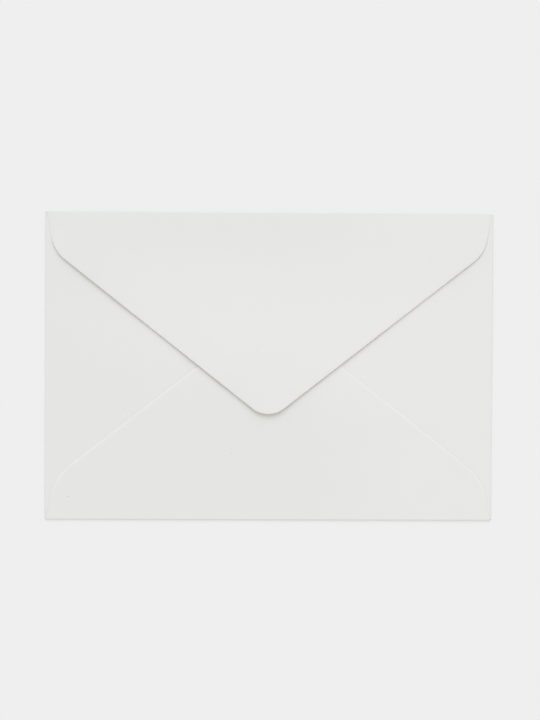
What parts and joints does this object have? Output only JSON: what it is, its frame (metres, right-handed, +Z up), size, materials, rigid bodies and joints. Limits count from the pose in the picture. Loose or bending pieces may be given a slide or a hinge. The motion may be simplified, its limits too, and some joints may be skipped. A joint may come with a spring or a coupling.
{
  "type": "paper envelope",
  "caption": "Closed pointed-flap paper envelope, flap side up: one sheet folded into a flat pocket, with rounded flap points and slanted glued seams",
  "frame": {"origin": "on the table under the middle of the folded envelope", "axes": "+X along the long edge to the right as the flap side is seen, +Y towards the top fold, +Z up, square to the panels"},
  "size_m": [0.16, 0.11, 0.0017],
  "materials": {
    "paper": "smooth uncoated off-white writing paper"
  },
  "bodies": {
    "root": {"envelope": "paper"}
  },
  "joints": []
}
